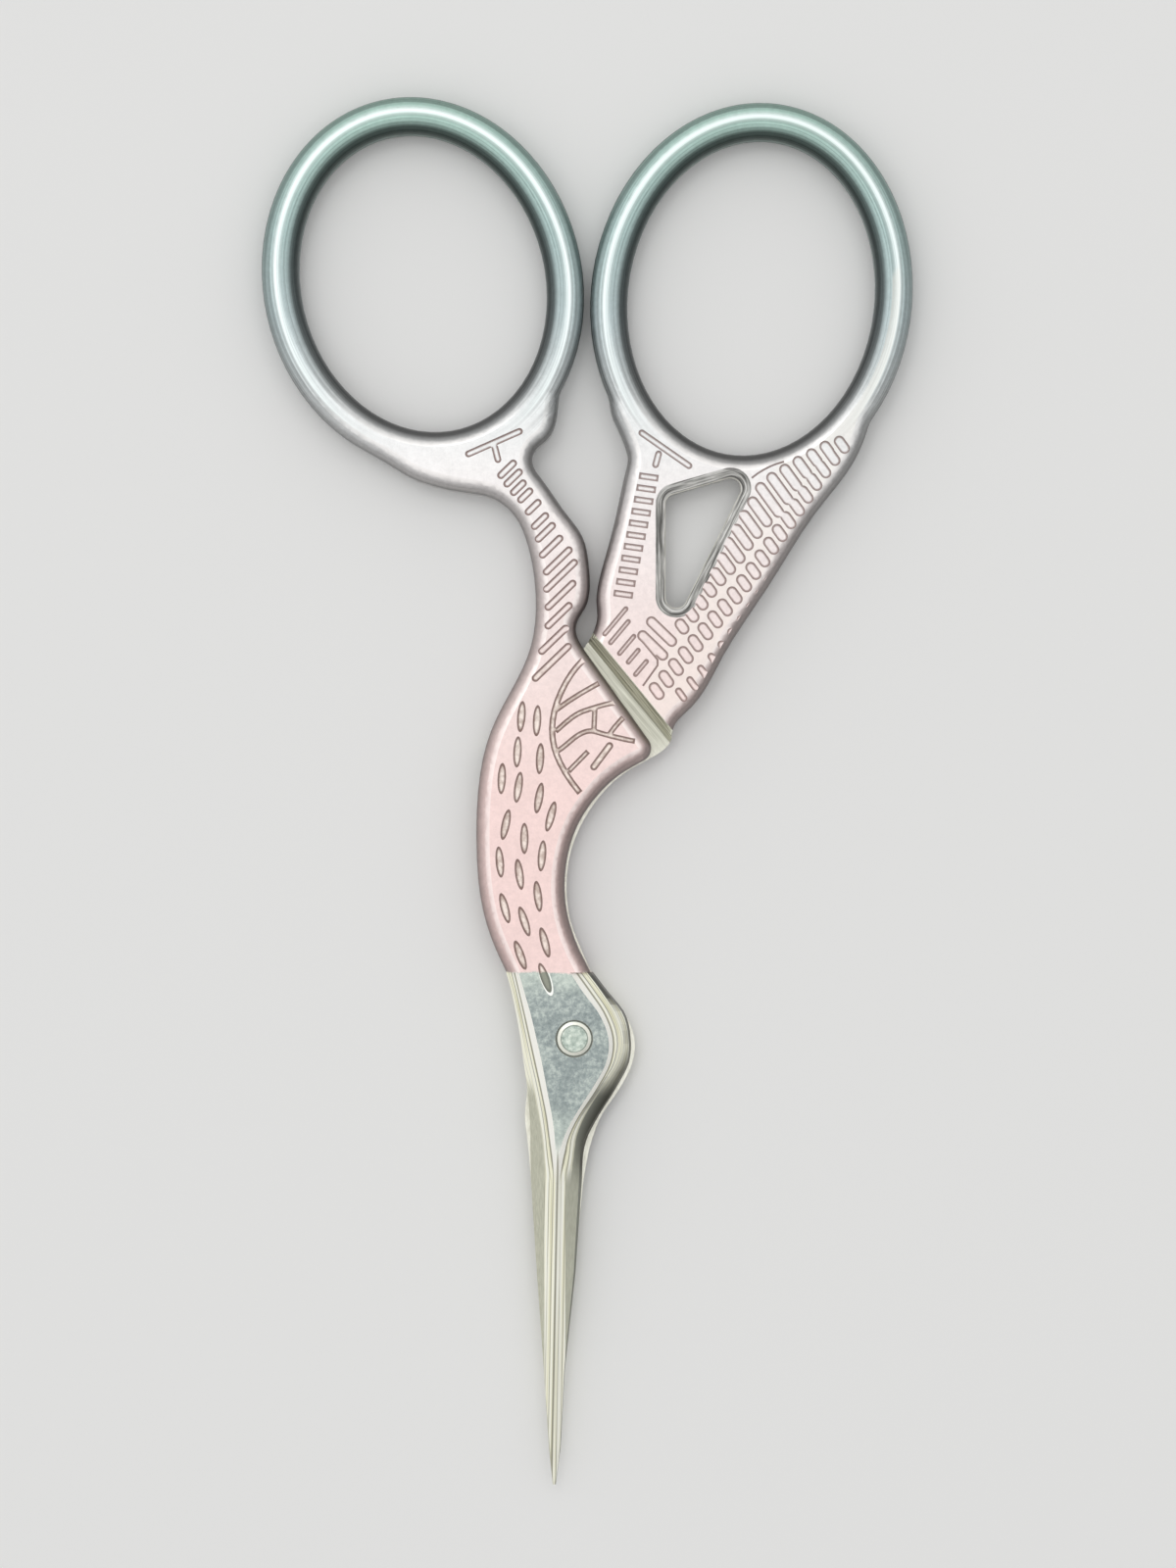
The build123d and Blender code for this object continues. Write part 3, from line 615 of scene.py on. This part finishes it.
def enamel(finish, out):
    """Colour of the paint, with painted shade and a painted highlight on it, and the brushed lines of the
    ring's wire. out is the distance from its bore.
    """
    tone = finish.ramp(finish.y, PAINT_TONES, PAINT_TONES[0][0], PAINT_TONES[-1][0])
    for noise, greys in ((CLOUD, CLOUD_GREYS), (SPECKLE, SPECKLE_GREYS)):
        tone = finish.shaded(MOTTLE_SHARE, tone, finish.greys(finish.noise(finish.place, *noise), greys))
    on_ring = finish.rising(finish.y, *RING_FOOT)
    off_ring = finish.rest(on_ring)
    wire_place = finish.stretched((out, finish.y, finish.z), WIRE_GRAIN)
    lines = finish.rising(finish.noise(wire_place, *WIRE_NOISE), *WIRE_LINES)
    tone = finish.shaded(finish.both(on_ring, WIRE_LINE_SHARE), tone, finish.greys(lines, BRUSHED_GREYS))
    # painted shade: faces that lean are darker, on the paint and on a ring's wire
    edge = finish.mix(on_ring, finish.greys(finish.facing, EDGE_SHADE),
                      finish.greys(finish.facing, WIRE_SHADE))
    tone = finish.shaded(1.0, tone, edge)
    # the sides that look right lie away from the light
    far = finish.both(finish.rising(finish.side, *PAINT_FAR_SIDE), finish.leaning, off_ring)
    tone = finish.coated(tone, far, FAR_PAINT_COAT)
    # painted shade: the wire is darker close to its bore
    tone = finish.shaded(1.0, tone, finish.greys(out, BORE_SHADE, 0.0, BORE_SHADE_REACH))
    # painted highlight: a pale line on the crease where a face turns into its rounded edge
    crease_highlight = finish.both(finish.rising(finish.facing, *CREASE_INNER),
                         finish.rising(finish.facing, *CREASE_OUTER), off_ring)
    tone = finish.coated(tone, crease_highlight, CREASE_HIGHLIGHT_COAT)
    # painted highlight: a bright line along the ring's wire, stronger on its brushed lines
    on_lines, everywhere = SHEEN_SHARES
    painted_sheen = finish.both(finish.rising(finish.apart(out, SHEEN_LINE), *SHEEN_WIDTH), on_ring,
                        finish.plus(finish.both(lines, on_lines), everywhere))
    return finish.mix(painted_sheen, tone, SHEEN_HIGHLIGHT_TONE), finish.both(lines, on_ring)


def ground_faces(finish, from_foot, rise, joint_side):
    """How far a place belongs to the step or the joint face, which are ground bare."""
    inner = finish.both(finish.minus(finish.z, JOINT_FACE), joint_side)
    at_step = finish.both(finish.rising(from_foot, STEP_RUN + SOFT, STEP_RUN - SOFT),
                          finish.rising(inner, *STEP_INSIDE),
                          finish.rising(finish.y, PAINT_EDGE, PAINT_EDGE + STEP_END))
    joint_face = finish.both(finish.rising(rise, *JOINT_RISE), finish.rising(finish.facing, *LEVEL_FACE))
    return finish.either(at_step, joint_face)


def step_tones(finish, from_foot, rise):
    """Colour of the step's wall and of the ground face at its foot."""
    wall_place = finish.stretched((finish.z, from_foot, finish.y), WALL_GRAIN)
    wall_tone = finish.ramp(finish.noise(wall_place, *GRIND_NOISE), WALL_TONES)
    strip_tone = finish.ramp(finish.streaks(from_foot, *STRIP_STREAKS), STRIP_TONES)
    wall_tone = finish.coated(wall_tone, finish.rising(rise, *WALL_FOOT), (WALL_FOOT_SHARE, strip_tone))
    joint_lines = finish.noise(finish.scaled(finish.place, JOINT_GRAIN), *JOINT_NOISE)
    below_strip = finish.rising(finish.y, STRIP_FOOT + STRIP_FADE, STRIP_FOOT)
    strip_tone = finish.mix(below_strip, strip_tone, finish.ramp(joint_lines, JOINT_TONES))
    return finish.mix(finish.rising(finish.facing, *STEP_WALL_FACING), strip_tone, wall_tone)


def window_bevel(finish, corners, out):
    """How far a place belongs to the window's bevel, and the bevel's colour."""
    inside = finish.rising(out, BORE_ROUND, BORE_ROUND + RING_CLEARANCE)
    for line in zip(corners, (*corners[1:], corners[0])):
        inside = finish.both(finish.rising(finish.beside(line), WINDOW_BEVEL + SOFT, WINDOW_BEVEL), inside)
    place = finish.stretched((finish.z, finish.x, finish.y), BEVEL_GRAIN)
    tone = finish.ramp(finish.noise(place, *GRIND_NOISE), BEVEL_TONES)
    foot = finish.within(finish.z, *WINDOW_FOOT, WINDOW_FOOT_SOFT)
    bevel = finish.both(inside, finish.rising(finish.facing, *BEVEL_FACING))
    return bevel, finish.coated(tone, foot, SLIVER_COAT)


def tail_ground(finish):
    """The face between the tail's feathers."""
    return finish.both(finish.rising(finish.z, *TAIL_HEIGHT), finish.rising(finish.facing, *TAIL_FACING),
                       finish.rising(finish.beside(TAIL_ROOTS), *TAIL_FADE),
                       finish.rising(finish.beside(TAIL_TIPS), *TAIL_FADE))


def body_grooves(finish):
    """The floors of the pockets in the front face, from the bird's body up to its shoulder."""
    return finish.both(finish.within(finish.z, *GROOVE_HEIGHTS, SOFT),
                       finish.rising(finish.facing, *GROOVE_FACING), finish.rising(finish.y, *GROOVE_TOP))


def engraving_lines(finish, ground):
    """How far a place lies in the dark lines of painted shade that the engraving's walls make."""
    shut_in = finish.rising(finish.hollow(HOLLOW_REACH, HOLLOW_SAMPLES), *SHUT_IN)
    clear_of_edge = finish.rising(finish.apart(finish.y, PAINT_EDGE), *CLEAR_OF_EDGE)
    in_last_oval = finish.rising(finish.in_sizes(LAST_OVAL), *LAST_OVAL_RIM)
    return finish.both(shut_in, finish.rising(finish.y, *ENGRAVED_ABOVE), finish.rest(ground),
                       finish.either(clear_of_edge, in_last_oval))


def half_finish(name, ring, step, joint_side, window=()):
    """Enamel over steel, bare where the half is ground. joint_side is 1 where the joint face looks up."""
    finish = Finish(name)
    rise = finish.apart(finish.z, JOINT_FACE)
    steel, steel_rough, metallic = bare_steel(finish, rise)
    out = finish.from_bore(ring)
    paint, lines = enamel(finish, out)
    wave = finish.both(finish.minus(finish.noise(finish.place, *PAINT_EDGE_NOISE), 0.5), PAINT_EDGE_WAVE)
    below = finish.rising(finish.plus(finish.y, wave),
                          PAINT_EDGE + PAINT_EDGE_SOFT, PAINT_EDGE - PAINT_EDGE_SOFT)
    from_foot = finish.beside(step)
    ground = ground_faces(finish, from_foot, rise, joint_side)
    steel = finish.mix(ground, steel, step_tones(finish, from_foot, rise))
    bare = finish.either(ground, below)
    shade_outlined = engraving_lines(finish, ground)
    if window:
        bevel, bevel_tone = window_bevel(finish, window, out)
        steel = finish.mix(bevel, steel, bevel_tone)
        bare = finish.either(bare, bevel)
        paint = finish.coated(paint, tail_ground(finish), FEATHER_COAT)
        shade_outlined = finish.both(shade_outlined, finish.rest(bevel))
    else:
        grooves = body_grooves(finish)
        groove_tone = finish.ramp(finish.noise(finish.place, *GROOVE_NOISE), GROOVE_TONES)
        paint = finish.coated(paint, grooves, (GROOVE_SHARE, groove_tone))
        pockets = finish.both(grooves, finish.rising(finish.y, *ENGRAVED_ABOVE))
        steel = finish.mix(pockets, steel, POCKET_TONE)
    # the engraving's outlines are painted shade
    outline_share = TAIL_OUTLINE_SHARE if window else BODY_OUTLINE_SHARE
    outline_shade_tone = finish.mix(below, OUTLINE_SHADE_TONE, SHADE_TONE)
    tone = finish.coated(finish.mix(bare, paint, steel), shade_outlined, (outline_share, outline_shade_tone))
    if not window:
        # painted highlight: where the last oval is cut through the bare flat, a bright rim runs round it
        rim_highlight = finish.both(finish.within(finish.in_sizes(LAST_OVAL), *RIM_HIGHLIGHT_RING),
                           finish.rising(finish.z, *RIM_HIGHLIGHT_HEIGHT), below)
        tone = finish.coated(tone, rim_highlight, RIM_HIGHLIGHT_COAT)
    metallic = finish.level(bare, PAINT_METALLIC, finish.level(ground, metallic, JOINT_METALLIC))
    rough = finish.level(bare, finish.level(lines, *PAINT_ROUGHNESS), steel_rough)
    grain = finish.noise(finish.place, *FINE_GRAIN)
    height = finish.plus(finish.both(lines, GRAIN_SHARE), finish.both(grain, GRAIN_SHARE))
    return finish.wear(tone, metallic, rough, finish.bump(height, *HALF_BUMP))


def screw_finish():
    """Turned steel with a mottled end inside a bright rim."""
    finish = Finish("turned_steel")
    out = finish.length(finish.x, finish.y)
    turned_place = finish.joined(finish.both(out, SCREW_TURNING), 0.0, finish.both(finish.z, SCREW_TURNING))
    turning = finish.noise(turned_place, *GRIND_NOISE)
    mottle = finish.noise(finish.place, *SCREW_NOISE)
    tone = finish.shaded(MOTTLE_SHARE, finish.ramp(mottle, SCREW_TONES), finish.greys(turning, TURNING_GREYS))
    front = finish.rising(finish.z, *SCREW_FRONT)
    tone = finish.coated(tone, finish.both(front, finish.within(out, *SCREW_RIM)), RIM_COAT)
    rim_lines = finish.plus(finish.within(out, *SCREW_INNER_LINE), finish.within(out, *SCREW_OUTER_LINE))
    tone = finish.coated(tone, finish.both(front, rim_lines), RIM_LINE_COAT)
    rough = finish.level(turning, *SCREW_ROUGHNESS)
    return finish.wear(tone, SCREW_METALLIC, rough, finish.bump(mottle, *SCREW_BUMP))


def table():
    """The pale table top that the scissors lie on."""
    bpy.ops.mesh.primitive_plane_add(size=TABLE_SIZE, location=(0, 0, 0))
    top = bpy.context.object
    top.name = "table_top"
    material = bpy.data.materials.new("pale_table")
    material.use_nodes = True
    shader = material.node_tree.nodes["Principled BSDF"]
    shader.inputs["Base Color"].default_value = TABLE_TONE
    shader.inputs["Roughness"].default_value = TABLE_ROUGHNESS
    top.data.materials.append(material)


def studio():
    """Soft light: a pale sky, brightest to the upper left of the picture, and two lamps overhead."""
    world = bpy.data.worlds.new("studio")
    world.use_nodes = True
    nodes, links = world.node_tree.nodes, world.node_tree.links
    direction = nodes.new("ShaderNodeTexCoord")
    towards = nodes.new("ShaderNodeVectorMath")
    towards.operation = "DOT_PRODUCT"
    links.new(direction.outputs["Generated"], towards.inputs[0])
    towards.inputs[1].default_value = SKY_BRIGHT_SIDE
    strength = nodes.new("ShaderNodeMapRange")
    links.new(towards.outputs["Value"], strength.inputs["Value"])
    for end, (far, bright) in (("From", SKY_FALL), ("To", SKY_STRENGTH)):
        strength.inputs[end + " Min"].default_value = far
        strength.inputs[end + " Max"].default_value = bright
    background = nodes["Background"]
    background.inputs["Color"].default_value = (1.0, 1.0, 1.0, 1.0)
    links.new(strength.outputs[0], background.inputs["Strength"])
    bpy.context.scene.world = world
    soft_box("overhead", *OVERHEAD_LAMP)
    soft_box("key", *KEY_LAMP)
    bpy.context.scene.view_settings.view_transform = "Standard"


overhead_camera()
studio()
table()
finishes = {
    "front_half": half_finish("front_half_enamel_and_steel", FRONT_RING, FRONT_STEP[::-1], -1),
    "back_half": half_finish("back_half_enamel_and_steel", BACK_RING, BACK_STEP, 1, WINDOW_CORNERS),
    "pivot_screw": screw_finish(),
}
for name, material in finishes.items():
    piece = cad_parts[name]
    piece.data.materials.clear()
    piece.data.materials.append(material)
